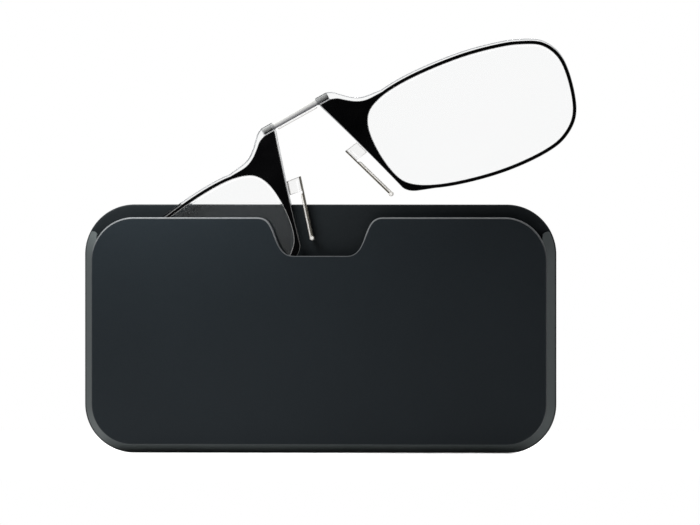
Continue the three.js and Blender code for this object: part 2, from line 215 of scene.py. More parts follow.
def spline(points, closed=False):
    """A centripetal Catmull-Rom curve through the points."""
    p = [Vector(q) for q in points]
    count = len(p)
    result = []
    for i in range(count if closed else count - 1):
        if closed:
            a, b, c, d = (p[(i + k) % count] for k in (-1, 0, 1, 2))
        else:
            b, c = p[i], p[i + 1]
            a = p[i - 1] if i else b * 2 - c
            d = p[i + 2] if i + 2 < count else c * 2 - b
        ab, bc, cd = ((v - u).length ** 0.5 for u, v in ((a, b), (b, c), (c, d)))
        leave = ((b - a) / ab - (c - a) / (ab + bc) + (c - b) / bc) * bc
        arrive = ((c - b) / bc - (d - b) / (bc + cd) + (d - c) / cd) * bc
        for s in range(SPLINE_STEPS):
            t = s / SPLINE_STEPS
            result.append(
                b * (2 * t**3 - 3 * t**2 + 1) + leave * (t**3 - 2 * t**2 + t)
                + c * (3 * t**2 - 2 * t**3) + arrive * (t**3 - t**2)
            )
    return result if closed else result + [p[-1]]


def grown(loop, distance):
    """A loop moved outwards by a distance, or by a distance for each point, with mitred corners."""
    moved = []
    for i, p in enumerate(loop):
        a = (p - loop[i - 1]).normalized()
        b = (loop[(i + 1) % len(loop)] - p).normalized()
        out_a, out_b = Vector((a.y, -a.x)), Vector((b.y, -b.x))
        far = distance[i] if isinstance(distance, list) else distance
        moved.append(p + (out_a + out_b) * (far / max(0.35, 1 + out_a.dot(out_b))))
    return moved


def tidy(points):
    """The points without any that repeats the one before it."""
    return [p for i, p in enumerate(points) if (p - points[i - 1]).length > 1e-4]


def rounded_rectangle(low, high, low_radius, high_radius):
    (x0, z0), (x1, z1) = low, high
    r, t = low_radius, high_radius
    return (
        arc(x1 - r, z0 + r, r, -90, 0) + arc(x1 - t, z1 - t, t, 0, 90)
        + arc(x0 + t, z1 - t, t, 90, 180) + arc(x0 + r, z0 + r, r, 180, 270)
    )


# ---- Meshes ----

class Shell:
    """A closed mesh built from rings. Its "edge" attribute, 1 on rounded edges unless given, marks where a
    painted highlight or painted shade goes.
    """

    def __init__(self):
        self.mesh = bmesh.new()
        self.edge = self.mesh.verts.layers.float.new("edge")

    def ring(self, loop, y, edge=0.0):
        made = [self.mesh.verts.new((p.x, y, p.y)) for p in loop]
        for i, v in enumerate(made):
            v[self.edge] = edge[i] if isinstance(edge, list) else edge
        return made

    def wall(self, a, b):
        for i in range(len(a)):
            self.mesh.faces.new((a[i - 1], a[i], b[i], b[i - 1]))

    def walls(self, rings):
        for a, b in zip(rings, rings[1:]):
            self.wall(a, b)

    def cap(self, *rings):
        """The flat face inside a ring, or between a ring and a hole in it."""
        edges = []
        for ring in rings:
            for i in range(len(ring)):
                pair = (ring[i - 1], ring[i])
                edges.append(self.mesh.edges.get(pair) or self.mesh.edges.new(pair))
        bmesh.ops.triangle_fill(self.mesh, use_beauty=True, use_dissolve=False, edges=edges)

    def rounded(self, loop, back, front, radius, front_radius=None, edge=1.0):
        """Rings from the back face round the side to the front face, without the caps."""
        near = front_radius or radius
        scale = near if isinstance(near, list) else [near] * len(loop)
        rings = [self.ring(grown(loop, -radius - SUPPORT), back)]
        for a in FILLET_TURNS:
            inset = radius * (1 - math.sin(a))
            rings.append(self.ring(grown(loop, -inset), back - radius * (1 - math.cos(a)), edge))
        for a in FILLET_TURNS:
            insets = [-s * (1 - math.cos(a)) for s in scale]
            ring = self.ring(grown(loop, insets), front, edge)
            for v, s in zip(ring, scale):
                v.co.y = front + s * (1 - math.sin(a))
            rings.append(ring)
        rings.append(self.ring(grown(loop, [-s - SUPPORT for s in scale]), front))
        self.walls(rings)
        return rings

    def plate(self, loop, back, front, radius, **options):
        rings = self.rounded(loop, back, front, radius, **options)
        self.cap(rings[0])
        self.cap(rings[-1])
        return self


def piece(name, shell, place, material, body, nodes=(), blend=None):
    """Puts a finished shell into the scene and hides the CAD nodes it replaces. Without blend it is tied
    to its body; with blend its place is baked into the mesh.
    """
    mesh = shell.mesh if isinstance(shell, Shell) else shell
    bmesh.ops.triangulate(mesh, faces=[f for f in mesh.faces if len(f.verts) > 4])
    mesh.transform(place)
    bmesh.ops.recalc_face_normals(mesh, faces=mesh.faces)
    for face in mesh.faces:
        face.smooth = True
    for e in mesh.edges:
        e.smooth = len(e.link_faces) == 2 and e.calc_face_angle(0) < CREASE
    data = bpy.data.meshes.new(name)
    mesh.to_mesh(data)
    mesh.free()
    data.materials.append(material)
    thing = bpy.data.objects.new(name, data)
    bpy.context.scene.collection.objects.link(thing)
    if blend:
        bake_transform(thing)
    else:
        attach(thing, body)
    if nodes:
        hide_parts(*nodes)
    return thing


def boolean(target, *steps):
    """Joins solids to a shell, or cuts them from it, with the exact solver. Returns a bmesh."""
    def loose(mesh):
        bmesh.ops.recalc_face_normals(mesh, faces=mesh.faces)
        data = bpy.data.meshes.new("scratch")
        mesh.to_mesh(data)
        mesh.free()
        thing = bpy.data.objects.new("scratch", data)
        bpy.context.scene.collection.objects.link(thing)
        return thing

    main = loose(target.mesh)
    others = []
    for operation, shell in steps:
        other = loose(shell.mesh)
        others.append(other)
        modifier = main.modifiers.new(operation, "BOOLEAN")
        modifier.operation = operation
        modifier.solver = "EXACT"
        modifier.object = other
    bpy.context.view_layer.update()
    result = bmesh.new()
    result.from_object(main, bpy.context.evaluated_depsgraph_get())
    for thing in (main, *others):
        data = thing.data
        bpy.data.objects.remove(thing)
        bpy.data.meshes.remove(data)
    return result


# ---- Materials ----

# Two tones, the tone of the painted highlight on rounded edges (grain specks take it too), roughness and
# gloss.
CASE_PLASTICS = {
    "case_plastic": ((0.0062, 0.0088, 0.0108), (0.0072, 0.0100, 0.0122), (0.10, 0.104, 0.107), 0.54, 0.1),
    # painted light: a copy of the case plastic painted lighter, for the light on the wall's sloped sides
    "rail_plastic_lit": ((0.042, 0.049, 0.049), (0.048, 0.055, 0.056), (0.12, 0.125, 0.128), 0.55, 0.1),
    # painted shade: a copy of the case plastic painted darker, for the shade on the back plate above the
    # lip
    "back_plastic_shaded": ((0.0056, 0.0072, 0.0082), (0.0064, 0.0081, 0.0092), (0.12, 0.125, 0.128), 0.54, 0.08),
}
# Two tints, the tint of the painted shade along the edges, the lowest and highest roughness, and how wavy
# the surface is.
CLEARS = {
    "lens_clear": ((0.995, 0.998, 0.998), (0.990, 0.995, 0.995), (0.30, 0.31, 0.32), 0.0, 0.003, 0.01),
    "clip_clear": ((0.96, 0.96, 0.955), (0.94, 0.94, 0.935), (0.40, 0.39, 0.38), 0.0, 0.02, 0.05),
    "web_clear": ((0.985, 0.985, 0.98), (0.98, 0.98, 0.975), (0.30, 0.28, 0.26), 0.0, 0.02, 0.02),
}
CLEAR_INDEX = 1.5
# Two tones, the tone of the painted shade on the lower share, the lowest and highest roughness, and the
# metallic share.
METALS = {
    "spring_steel": ((0.40, 0.40, 0.39), (0.34, 0.34, 0.33), (0.055, 0.055, 0.06), 0.34, 0.42, 0.2),
    "blade_steel": ((0.20, 0.19, 0.16), (0.14, 0.13, 0.11), (0.05, 0.05, 0.04), 0.25, 0.32, 0.8),
    "sleeve_steel": ((0.34, 0.34, 0.33), (0.28, 0.28, 0.27), (0.004, 0.004, 0.004), 0.4, 0.5, 0.1),
}
EDGE_POLISH = 0.2  # how much smoother the edges with the painted highlight are
DULL_SPREAD = 0.04  # how far the roughness of the case goes up and down


class Nodes:
    """A short way to write a node tree."""

    def __init__(self, name):
        self.material = bpy.data.materials.new(name)
        self.material.use_nodes = True
        self.tree = self.material.node_tree
        self.shader = self.tree.nodes["Principled BSDF"]
        self.output = self.tree.nodes["Material Output"]
        self.place = self.add("TexCoord").outputs["Object"]

    def add(self, kind, **values):
        node = self.tree.nodes.new("ShaderNode" + kind)
        for key, value in values.items():
            if key in node.bl_rna.properties:
                setattr(node, key, value)
            else:
                node.inputs[key.replace("_", " ")].default_value = value
        return node

    def link(self, source, target):
        self.tree.links.new(source, target)

    def set(self, **values):
        for key, value in values.items():
            self.shader.inputs[key.replace("_", " ")].default_value = value

    def noise(self, scale, detail=3.0, stretch=None, turn=0.0):
        """A noise pattern, scale in features per metre, stretched along an axis if asked."""
        node = self.add("TexNoise", Scale=scale, Detail=detail)
        source = self.place
        if stretch:
            spun = self.add("Mapping", Rotation=(0, turn, 0))
            self.link(source, spun.inputs["Vector"])
            squeezed = self.add("Mapping", Scale=stretch)
            self.link(spun.outputs["Vector"], squeezed.inputs["Vector"])
            source = squeezed.outputs["Vector"]
        self.link(source, node.inputs["Vector"])
        return node.outputs["Fac"]

    def spread(self, source, low, high, from_low=0.3, from_high=0.7):
        """Turns a pattern into a number between low and high."""
        node = self.add(
            "MapRange", From_Min=from_low, From_Max=from_high, To_Min=low, To_Max=high
        )
        self.link(source, node.inputs["Value"])
        return node.outputs["Result"]

    def mix(self, factor, a, b):
        """A colour between a and b, each a colour or a socket."""
        node = self.add("Mix", data_type="RGBA")
        self.link(factor, node.inputs[0])
        for place, value in ((6, a), (7, b)):
            if isinstance(value, tuple):
                node.inputs[place].default_value = (*value, 1)
            else:
                self.link(value, node.inputs[place])
        return node.outputs[2]

    def maths(self, operation, a, b):
        node = self.add("Math", operation=operation)
        for place, value in enumerate((a, b)):
            if isinstance(value, (int, float)):
                node.inputs[place].default_value = value
            else:
                self.link(value, node.inputs[place])
        return node.outputs[0]

    def bump(self, height, strength, distance):
        node = self.add("Bump", Strength=strength, Distance=distance)
        self.link(height, node.inputs["Height"])
        self.link(node.outputs["Normal"], self.shader.inputs["Normal"])

    # the mask for the painted highlights and painted shade
    def edge(self):
        node = self.add("Attribute")
        node.attribute_name = "edge"
        return node.outputs["Fac"]


def case_plastic(name):
    """Dark blue-grey moulded plastic: fine spark-eroded grain, cloudy tone, a painted highlight on rounded
    edges, which are also smoother.
    """
    low, high, highlight_and_speck_tone, roughness, gloss = CASE_PLASTICS[name]
    n = Nodes(name)
    grain = n.noise(5200, 2.0)
    cloud = n.noise(38, 4.0)
    tone = n.mix(n.spread(cloud, 0.0, 1.0), low, high)
    speckled = n.mix(n.spread(grain, 0.0, 0.03, 0.25, 0.75), tone, highlight_and_speck_tone)
    # painted highlight: the rounded edges turn pale, most of all along the lip
    edge_highlight = n.maths("MULTIPLY", n.edge(), n.spread(n.noise(700, 3.0), 0.75, 1.0))
    n.link(n.mix(edge_highlight, speckled, highlight_and_speck_tone), n.shader.inputs["Base Color"])
    dull = n.spread(cloud, roughness - DULL_SPREAD, roughness + DULL_SPREAD)
    polish = n.maths("MULTIPLY", edge_highlight, EDGE_POLISH)
    n.link(n.maths("SUBTRACT", dull, polish), n.shader.inputs["Roughness"])
    n.bump(grain, 0.12, 0.00003)
    n.set(Specular_IOR_Level=gloss)
    return n.material


def rim_black():
    """Glossy black lacquer with the faintest orange peel and a painted highlight along its rounded edges.
    """
    n = Nodes("rim_black")
    cloud = n.noise(160, 3.0)
    tone = n.mix(n.spread(cloud, 0.0, 1.0), (0.0004, 0.0004, 0.0005), (0.0010, 0.0010, 0.0011))
    # painted highlight: the rounded edges turn pale grey
    n.link(n.mix(n.edge(), tone, (0.17, 0.17, 0.17)), n.shader.inputs["Base Color"])
    n.link(n.spread(n.noise(900, 2.0), 0.10, 0.16), n.shader.inputs["Roughness"])
    n.bump(cloud, 0.05, 0.00005)
    n.set(Specular_IOR_Level=0.12)
    return n.material


def clear(name):
    """Clear plastic that light from the lamps also passes through, with painted shade along its rounded
    edges.
    """
    tint, tint_deep, shade_tint, low_roughness, high_roughness, wave = CLEARS[name]
    n = Nodes(name)
    cloud = n.noise(90, 2.0)
    body = n.mix(n.spread(cloud, 0.0, 1.0), tint, tint_deep)
    # painted shade: darker along the rounded edges
    n.link(n.mix(n.edge(), body, shade_tint), n.shader.inputs["Base Color"])
    n.link(n.spread(n.noise(60, 1.0), low_roughness, high_roughness), n.shader.inputs["Roughness"])
    n.bump(cloud, wave, 0.00004)
    n.set(Transmission_Weight=1.0, IOR=CLEAR_INDEX)
    through = n.add("BsdfTransparent", Color=(*tint, 1))
    path = n.add("LightPath")
    both = n.add("MixShader")
    n.link(path.outputs["Is Shadow Ray"], both.inputs["Fac"])
    n.link(n.shader.outputs["BSDF"], both.inputs[1])
    n.link(through.outputs["BSDF"], both.inputs[2])
    n.link(both.outputs["Shader"], n.output.inputs["Surface"])
    return n.material


def metal(name):
    """Drawn spring alloy with fine lines in the bridge's direction and a painted shade on its marked lower
    share.
    """
    light, dark, shade_tone, low_roughness, high_roughness, metallic = METALS[name]
    n = Nodes(name)
    lines = n.noise(1.0, 2.0, stretch=(90, 1400, 1400), turn=LEAN)
    tone = n.mix(n.spread(lines, 0.0, 1.0), dark, light)
    # painted shade on the lower share of the strip and the sleeve
    n.link(n.mix(n.edge(), tone, shade_tone), n.shader.inputs["Base Color"])
    n.link(n.spread(lines, high_roughness, low_roughness), n.shader.inputs["Roughness"])
    n.bump(lines, 0.03, 0.00001)
    n.set(Metallic=metallic)
    return n.material


def silicone():
    """Soft clear silicone, a little milky, with painted shade along its rounded edges."""
    n = Nodes("silicone")
    cloud = n.noise(420, 3.0)
    tone = n.mix(n.spread(cloud, 0.0, 1.0), (0.90, 0.89, 0.86), (0.96, 0.95, 0.93))
    # painted shade: darker along the rounded edges
    n.link(n.mix(n.edge(), tone, (0.36, 0.34, 0.31)), n.shader.inputs["Base Color"])
    n.link(n.spread(n.noise(900, 2.0), 0.12, 0.2), n.shader.inputs["Roughness"])
    n.bump(n.noise(1500, 2.0), 0.04, 0.00002)
    n.set(Transmission_Weight=0.55, IOR=1.41)
    return n.material


def foam():
    """Grey acrylic foam tape with open cells."""
    n = Nodes("adhesive_foam")
    cells = n.add("TexVoronoi", Scale=2600.0)
    n.link(n.place, cells.inputs["Vector"])
    cloud = n.noise(120, 4.0)
    depth = n.spread(cells.outputs["Distance"], 0.0, 1.0, 0.0, 0.8)
    tone = n.mix(n.spread(cloud, 0.0, 1.0), (0.36, 0.36, 0.35), (0.46, 0.46, 0.45))
    n.link(n.mix(depth, tone, (0.27, 0.27, 0.26)), n.shader.inputs["Base Color"])
    n.link(n.spread(cloud, 0.75, 0.9), n.shader.inputs["Roughness"])
    n.bump(depth, 0.5, 0.00006)
    n.set(Specular_IOR_Level=0.3)
    return n.material


# ---- Case ----

def box_mm(node):
    low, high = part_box(node)
    return low / MM, high / MM


BACK_LOW, BACK_HIGH = box_mm("back_plate")
FRONT_LOW, FRONT_HIGH = box_mm("front_plate")
WALL_LOW, WALL_HIGH = box_mm("pocket_wall")


def back_outline():
    low, high = (BACK_LOW.x, BACK_LOW.z), (BACK_HIGH.x, BACK_HIGH.z)
    return rounded_rectangle(low, high, CASE_BOTTOM_RADIUS, CASE_TOP_RADIUS)


def front_outline():
    """The front plate with its thumb notch, one smooth S on each side."""
    x0, x1, z0, z1 = FRONT_LOW.x, FRONT_HIGH.x, FRONT_LOW.z, FRONT_HIGH.z
    r, t = FRONT_BOTTOM_RADIUS, FRONT_TOP_RADIUS
    floor = z1 - NOTCH_DEPTH
    top, foot = NOTCH_TOP_HALF, NOTCH_FLOOR_HALF
    handles = (top, z1), (top - NOTCH_TOP_HANDLE, z1), (foot + NOTCH_FLOOR_HANDLE, floor), (foot, floor)
    side = bezier(*handles)
    right = [Vector((NOTCH_X + p.x, p.y)) for p in side]
    left = [Vector((NOTCH_X - p.x, p.y)) for p in reversed(side)]
    return tidy(
        arc(x1 - r, z0 + r, r, -90, 0) + arc(x1 - t, z1 - t, t, 0, 90) + right
        + left + arc(x0 + t, z1 - t, t, 90, 180) + arc(x0 + r, z0 + r, r, 180, 270)
    )


def front_plate(plastic):
    loop = front_outline()
    lip_starts = FRONT_HIGH.z - FRONT_TOP_RADIUS
    # the painted highlight is full along the lip and fades into the sides below it
    shares = [min(1, max(0, (p.y - lip_starts) / LIP_BLEND)) for p in loop]
    radii = [SIDE_FILLET + (LIP_FILLET - SIDE_FILLET) * share for share in shares]
    highlight_shares = [SIDE_HIGHLIGHT + (1 - SIDE_HIGHLIGHT) * share for share in shares]
    shell = Shell().plate(
        loop, FRONT_HIGH.y, FRONT_LOW.y, SIDE_FILLET, front_radius=radii, edge=highlight_shares
    )
    piece("front_cover", shell, TO_METRES, plastic, "case", ["front_plate"])


def back_plate(plastic):
    shell = Shell().plate(back_outline(), BACK_HIGH.y, BACK_LOW.y, BACK_FILLET, edge=BACK_HIGHLIGHT)
    piece("back_cover", shell, TO_METRES, plastic, "case", ["back_plate"])


def adhesive_pad(tape):
    low, high = box_mm("adhesive_pad")
    loop = rounded_rectangle((low.x, low.z), (high.x, high.z), PAD_RADIUS, PAD_RADIUS)
    shell = Shell().plate(loop, high.y, low.y, PAD_FILLET)
    piece("foam_tape", shell, TO_METRES, tape, "case", ["adhesive_pad"])


def prism(loop, back, front, front_loop=None):
    """A solid between two flat faces. Its front one may have an outline of its own."""
    shell = Shell()
    rings = [shell.ring(loop, back), shell.ring(front_loop or loop, front)]
    shell.walls(rings)
    shell.cap(rings[0])
    shell.cap(rings[1])
    return shell


def pocket_wall(plastic):
    """The U of wall: sloped outside, straight inside, with round upper ends."""
    low, high = (FRONT_LOW.x, FRONT_LOW.z), (FRONT_HIGH.x, FRONT_HIGH.z)
    inner = rounded_rectangle(low, high, FRONT_BOTTOM_RADIUS, FRONT_TOP_RADIUS)
    foot = rounded_rectangle(
        (BACK_LOW.x + WALL_INSET, BACK_LOW.z + WALL_INSET),
        (BACK_HIGH.x - WALL_INSET, BACK_HIGH.z),
        CASE_BOTTOM_RADIUS - WALL_INSET, CASE_TOP_RADIUS,
    )
    block = prism(foot, WALL_HIGH.y, WALL_LOW.y, inner)
    half = BACK_HIGH.x - WALL_FOOT
    radius = CASE_BOTTOM_RADIUS - WALL_FOOT
    tall = 2 * BACK_HIGH.z
    pocket = rounded_rectangle((-half, BACK_LOW.z + WALL_FOOT), (half, tall), radius, radius)
    end_x = half + WALL_END_RADIUS - WALL_END_INSET
    end_z = BACK_HIGH.z - WALL_END_DROP
    wide = 2 * half
    reach = tidy(
        [Vector((-wide, -tall)), Vector((wide, -tall)), Vector((wide, end_z))]
        + arc(end_x, end_z, WALL_END_RADIUS, 0, 180)
        + arc(-end_x, end_z, WALL_END_RADIUS, 0, 180) + [Vector((-wide, end_z))]
    )
    past = 1
    wall = boolean(
        block,
        ("DIFFERENCE", prism(pocket, WALL_HIGH.y + past, WALL_LOW.y - past)),
        ("INTERSECT", prism(reach, WALL_HIGH.y + past, WALL_LOW.y - past)),
    )
    made = piece("pocket_rail", wall, TO_METRES, plastic, "case", ["pocket_wall"])
    soften(made, WALL_EDGE)


def soften(thing, width):
    """Rounds the sharp edges a little."""
    bevel = thing.modifiers.new("soft_edges", "BEVEL")
    bevel.width = width * MM
    bevel.segments = 2
    bevel.limit_method = "ANGLE"
    bevel.angle_limit = CREASE
    bevel.harden_normals = True


# ---- Glasses ----

JOINTS = {j["name"]: j for j in frame["joints"]}


def pivot(joint):
    return Vector(JOINTS[joint]["pos_m"])


BRIDGE_SPAN = pivot("right_flex") - pivot("left_flex")
BRIDGE_HALF = BRIDGE_SPAN.length / 2 / MM
LEAN = math.atan2(BRIDGE_SPAN.z, BRIDGE_SPAN.x)
ACROSS_BRIDGE = Vector((-math.sin(LEAN), 0, math.cos(LEAN)))
STRIP_CENTRE = (pivot("right_flex") + pivot("left_flex")) / 2
BRIDGE_MIDDLE = STRIP_CENTRE - ACROSS_BRIDGE * (STRIP_MIDDLE * MM)
MIRROR = {"left": -1, "right": 1}


def in_half(side):
    """From the plane of one half of the glasses to the row frame."""
    turn = Matrix.Rotation(-LEAN, 4, "Y")
    mirror = Matrix.Diagonal((MIRROR[side], 1, 1, 1))
    return Matrix.Translation(BRIDGE_MIDDLE) @ turn @ mirror @ TO_METRES


def on_pad(side):
    """From the frame of one nose pad to the row frame."""
    turn = Matrix.Rotation(-LEAN - MIRROR[side] * PAD_LEAN, 4, "Y")
    mirror = Matrix.Diagonal((MIRROR[side], 1, 1, 1))
    return Matrix.Translation(pivot(side + "_pad_spring")) @ turn @ mirror @ TO_METRES


def opening_loop():
    return list(reversed(spline(OPENING, closed=True)))


def ring_part(loop):
    """The stretch of a loop beyond the nose-side panel, from its lower end to its upper end."""
    count = len(loop)
    start = next(
        i for i in range(count)
        if loop[i].x > RING_STARTS and loop[i - 1].x <= RING_STARTS
    )
    turned = loop[start:] + loop[:start]
    return [p for p in turned if p.x > RING_STARTS]


def black_outline():
    ring = ring_part(grown(opening_loop(), RIM_WIDTH))
    nose = bezier(*BLACK_NOSE, steps=CURVE_STEPS)
    tip = bezier(*BLACK_TIP, steps=TIP_STEPS)
    return tidy(nose + tip + ring + spline([ring[-1], *BLACK_BROW]))


def clear_outline():
    lift = Vector((0, BROW_LIFT))
    ring = ring_part([p + lift for p in grown(opening_loop(), RIM_WIDTH)])
    nose = bezier(*CLEAR_NOSE, steps=CURVE_STEPS)
    tip = bezier(*CLEAR_TIP, steps=TIP_STEPS)
    corner = Vector((CLEAR_NOSE[0][0], SOCKET[2][1]))
    return tidy(nose + tip + ring + spline([ring[-1], *CLEAR_BROW]) + [corner])


def rim(side, black):
    """The black front layer: a rim that widens into the panel beside the nose."""
    shell = Shell()
    opening = opening_loop()
    outer = shell.rounded(
        black_outline(), RIM_BACK, FRONT_FACE, RIM_BACK_FILLET,
        front_radius=RIM_FILLET, edge=RIM_OUTER_SHINE,
    )
    inner = [shell.ring(grown(opening, RIM_FILLET + SUPPORT), FRONT_FACE)]
    # the opening's rounded edge takes the full painted highlight
    for a in FILLET_TURNS:
        loop = grown(opening, RIM_FILLET * (1 - math.sin(a)))
        inner.append(shell.ring(loop, FRONT_FACE + RIM_FILLET * (1 - math.cos(a)), 1.0))
    inner.append(shell.ring(opening, RIM_BACK))
    shell.walls(inner)
    shell.cap(outer[-1], inner[0])
    shell.cap(outer[0], inner[-1])
    body = side + "_half"
    piece(side + "_black_rim", shell, in_half(side), black, body, [side + "_rim"])


def lens(side, glass):
    """The clear moulding: brow edge, bridge socket and the domed lens in one piece."""
    shell = Shell()
    rings = shell.rounded(
        clear_outline(), BACK_FACE, CLEAR_FRONT, CLEAR_FILLET, front_radius=CLEAR_FRONT_FILLET
    )
    shell.cap(rings[0])
    base = grown(opening_loop(), -LENS_STEP)
    middle = sum(base, Vector((0, 0))) / len(base)
    dome = [
        shell.ring(grown(base, STEP_TOE), CLEAR_FRONT),
        shell.ring(grown(base, STEP_TOE / 2), CLEAR_FRONT - STEP_RISE * STEP_SHARE),
    ]
    for i in range(DOME_RINGS):
        scale = 1 - i / DOME_RINGS
        y = CLEAR_FRONT - STEP_RISE - LENS_SAG * (1 - scale**2)
        dome.append(shell.ring([middle.lerp(p, scale) for p in base], y))
    shell.walls(dome)
    shell.cap(dome[-1])
    shell.cap(rings[-1], dome[0])
    (x0, x1), (y0, y1), (z0, z1) = SOCKET
    loop = rounded_rectangle((x0, z0), (x1, z1), *SOCKET_CORNERS)
    block = Shell().plate(loop, y1, y0, SOCKET_FILLET)
    solid = boolean(shell, ("UNION", block))
    body = side + "_half"
    piece(side + "_clear_lens", solid, in_half(side), glass, body, [side + "_lens"])


def bar(stations, height, depth):
    """Part of the strip, along x, whose lower share is marked for painted shade. stations are (x, scale).
    """
    low, high = (-depth / 2, -height / 2), (depth / 2, height / 2)
    section = rounded_rectangle(low, high, STRIP_CORNER, STRIP_CORNER)[::STRIP_SECTION_SKIP]
    shell = Shell()
    rings = []
    shade_top = height * (STRIP_SHADE - 0.5)
    for x, scale in stations:
        ring = [shell.mesh.verts.new((x, p.x * scale, p.y * scale)) for p in section]
        for v, p in zip(ring, section):
            v[shell.edge] = 1.0 if p.y < shade_top else 0.0
        rings.append(ring)
    shell.walls(rings)
    shell.cap(rings[0])
    shell.cap(rings[-1])
    return shell


def strip(side, steel, dark_steel):
    """One half of the springy bridge strip, which bends at its socket, and its fixed end."""
    end = FERRULE[0] - 2 * BOND_GAP
    stations = [(end * i / STRIP_STEPS, 1.0) for i in range(STRIP_STEPS + 1)]
    shell = bar(stations, STRIP_HEIGHT * STRIP_SLIM[0], STRIP_DEPTH * STRIP_SLIM[1])
    place = in_half(side) @ Matrix.Translation((0, 0, STRIP_MIDDLE))
    mouth = place @ Vector((BRIDGE_HALF - BEND_START, 0, 0))
    free = place @ Vector((BRIDGE_HALF - BEND_END, 0, 0))
    half = side + "_half"
    # The frame's joints run from the left half to the bridge and from the bridge to the right one.
    ends = (half, "bridge", mouth, free) if side == "left" else ("bridge", half, free, mouth)
    nodes = ["bridge_strip"] if side == "left" else []
    piece(side + "_strip", shell, place, steel, half, nodes, blend=ends)
    x0, x1 = FERRULE
    start = [(x0 + far, scale) for far, scale in FERRULE_TIP]
    stop = [(x1 - far, scale) for far, scale in reversed(FERRULE_TIP)]
    shell = bar(start + stop, STRIP_HEIGHT, STRIP_DEPTH)
    name = side + "_ferrule"
    piece(name + "_sleeve", shell, place, dark_steel, half, [name])


def web(rubber):
    """The thin clear web under the strip."""
    low, high = (-WEB_HALF, WEB_TOP - WEB_HEIGHT), (WEB_HALF, WEB_TOP)
    loop = rounded_rectangle(low, high, WEB_CORNER, WEB_CORNER)
    middle = WEB_TOP - WEB_HEIGHT / 2
    # painted shade along its rounded edges, full on the lower half
    shades = [1.0 if p.y < middle else WEB_TOP_SHADE for p in loop]
    shell = Shell().plate(loop, WEB_DEPTH / 2, -WEB_DEPTH / 2, SMALL_FILLET, edge=shades)
    piece("clear_web", shell, in_half("right"), rubber, "bridge", ["bridge_web"])


def clip(side, glass):
    """The clear tab with its slot, which holds the nose pad's blade."""
    near = BLADE_THICKNESS / 2 + BOND_GAP
    x = CLIP_REACH - CLIP_CORNER
    low, high = CLIP_CORNER - CLIP_SKEW, FOOT_LENGTH - CLIP_SKEW - CLIP_CORNER
    loop = [Vector((near, 0))]
    loop += arc(x, low, CLIP_CORNER, -90, 0, CORNER_STEPS)
    loop += arc(x, high, CLIP_CORNER, 0, 90, CORNER_STEPS)
    loop += [Vector((near, FOOT_LENGTH))]
    shell = Shell().plate(loop, CLIP_DEPTH / 2, -CLIP_DEPTH / 2, SMALL_FILLET)
    x0, x1 = CLIP_SLOT_X - CLIP_SLOT_HALF, CLIP_SLOT_X + CLIP_SLOT_HALF
    slot = [Vector((x0, -1)), Vector((x1, -1))]
    slot += arc(CLIP_SLOT_X, CLIP_SLOT_TOP, CLIP_SLOT_HALF, 0, 180, 2 * CORNER_STEPS)
    solid = boolean(shell, ("DIFFERENCE", prism(slot, CLIP_DEPTH, -CLIP_DEPTH)))
    name = side + "_pad_clip"
    piece(name + "_clear", solid, on_pad(side), glass, side + "_half", [name])


def blade(side, steel):
    """The pad's metal blade, fixed to the clip above its pivot and free below it."""
    half = BLADE_THICKNESS / 2
    low, high = (-half, -BLADE_DEPTH / 2), (half, BLADE_DEPTH / 2)
    section = rounded_rectangle(low, high, BLADE_CORNER, BLADE_CORNER)[::BLADE_SECTION_SKIP]
    tip = -BLADE_LENGTH - half
    shell = Shell()
    rings = []
    for i in range(BLADE_STEPS + 1):
        z = FOOT_LENGTH + (tip - FOOT_LENGTH) * i / BLADE_STEPS
        rings.append([shell.mesh.verts.new((p.x, p.y, z)) for p in section])
    shell.walls(rings)
    shell.cap(rings[0])
    shell.cap(rings[-1])
    place = on_pad(side)
    fixed, free = place @ Vector((0, 0, BLADE_BEND)), place @ Vector((0, 0, -BLADE_BEND))
    ends = (side + "_half", side + "_pad", fixed, free)
    nodes = [side + "_blade_foot", side + "_pad_blade"]
    piece(side + "_blade", shell, place, steel, None, nodes, blend=ends)


def nose_pad(side, rubber):
    """The silicone layer on the blade, with its round bead at the end."""
    near = BLADE_THICKNESS / 2 + BOND_GAP
    far = near + SILICONE_THICKNESS
    bead_z = -BLADE_LENGTH - near - BEAD_RADIUS
    start = -SILICONE_START
    neck = math.degrees(math.acos(SILICONE_THICKNESS / BEAD_RADIUS))
    loop = arc(near, bead_z, BEAD_RADIUS, 90, 360 + neck, BEAD_STEPS)
    loop += [Vector((far, z)) for z in SILICONE_SIDE]
    loop += bezier((far, start - SILICONE_TAPER), (far, start), (near, start), steps=TAPER_STEPS)
    loop = tidy(loop)
    shell = Shell().plate(loop, SILICONE_DEPTH / 2, -SILICONE_DEPTH / 2, SILICONE_FILLET)
    name = side + "_nose_pad"
    piece(name + "_soft", shell, on_pad(side), rubber, side + "_pad", [name])


# ---- Scene ----

CAMERA_AZIMUTH = math.radians(6.4)
CAMERA_ELEVATION = math.radians(0.4)
CAMERA_LENS = 1000
CAMERA_SENSOR = 36
VIEW_WIDTH = 0.1544
AIM = Vector((0.0066, -0.0012, 0.0146))
FLOOR_FADE = (0.16, 0.34)
FLOOR_GAP = 0.0001
SUN_ENERGY = 3.0
SUN_TILT = 5  # degrees that its light leans towards the camera
SUN_TURN = 6  # degrees that its light leans to the right
SUN_SPREAD = 20  # degrees
# Each softbox has a place, a point that it faces, a size and a power.
SOFTBOXES = {
    "softbox_left": ((-0.042, -0.035, 0.07), (-0.042, 0, 0.015), (0.05, 0.03), 0.15),
    "softbox_right": ((0.15, -0.03, 0.02), (0.052, 0, 0), (0.06, 0.06), 0.02),
}
TENT_FRONT = 0.05  # how bright the tent is around the camera
TENT_FADE = (-0.6, 0.5)  # where it turns from that to white, along +Y
TENT_THROUGH = 0.55  # how far it goes back to white where it is seen through the lenses


